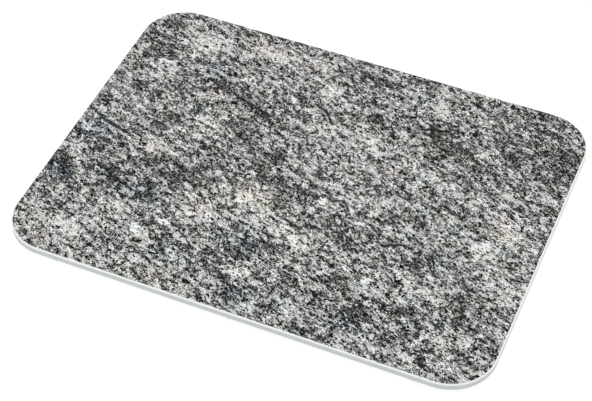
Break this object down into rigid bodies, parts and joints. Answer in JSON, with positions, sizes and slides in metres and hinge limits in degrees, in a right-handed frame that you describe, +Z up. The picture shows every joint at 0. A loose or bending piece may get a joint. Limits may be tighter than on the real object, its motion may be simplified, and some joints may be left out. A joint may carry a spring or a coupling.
{
  "type": "granite-effect glass work board",
  "caption": "Thin flat glass board with large rounded corners, a granite pattern printed on its top face and low rubber feet, used as a smooth hard work surface.",
  "frame": {"origin": "middle of the board in plan, on the surface that the feet stand on", "axes": "+X along the long side, +Y to the back, +Z up out of the patterned top face"},
  "size_m": [0.4, 0.3, 0.0097],
  "materials": {
    "toughened_glass": "satin ground edges, clear polished underside",
    "granite_ink": "printed grey granite pattern: fine pale, mid-grey and near-black grains",
    "white_coat": "opaque white coat, satin",
    "foot_rubber": "pale translucent moulded rubber, satin",
    "adhesive_film": "thin translucent adhesive film"
  },
  "bodies": {
    "root": {"glass_panel": "toughened_glass", "granite_print": "granite_ink", "white_undercoat": "white_coat", "foot_front_left": "foot_rubber", "adhesive_front_left": "adhesive_film", "foot_front_middle": "foot_rubber", "adhesive_front_middle": "adhesive_film", "foot_front_right": "foot_rubber", "adhesive_front_right": "adhesive_film", "foot_back_left": "foot_rubber", "adhesive_back_left": "adhesive_film", "foot_back_middle": "foot_rubber", "adhesive_back_middle": "adhesive_film", "foot_back_right": "foot_rubber", "adhesive_back_right": "adhesive_film"}
  },
  "joints": []
}
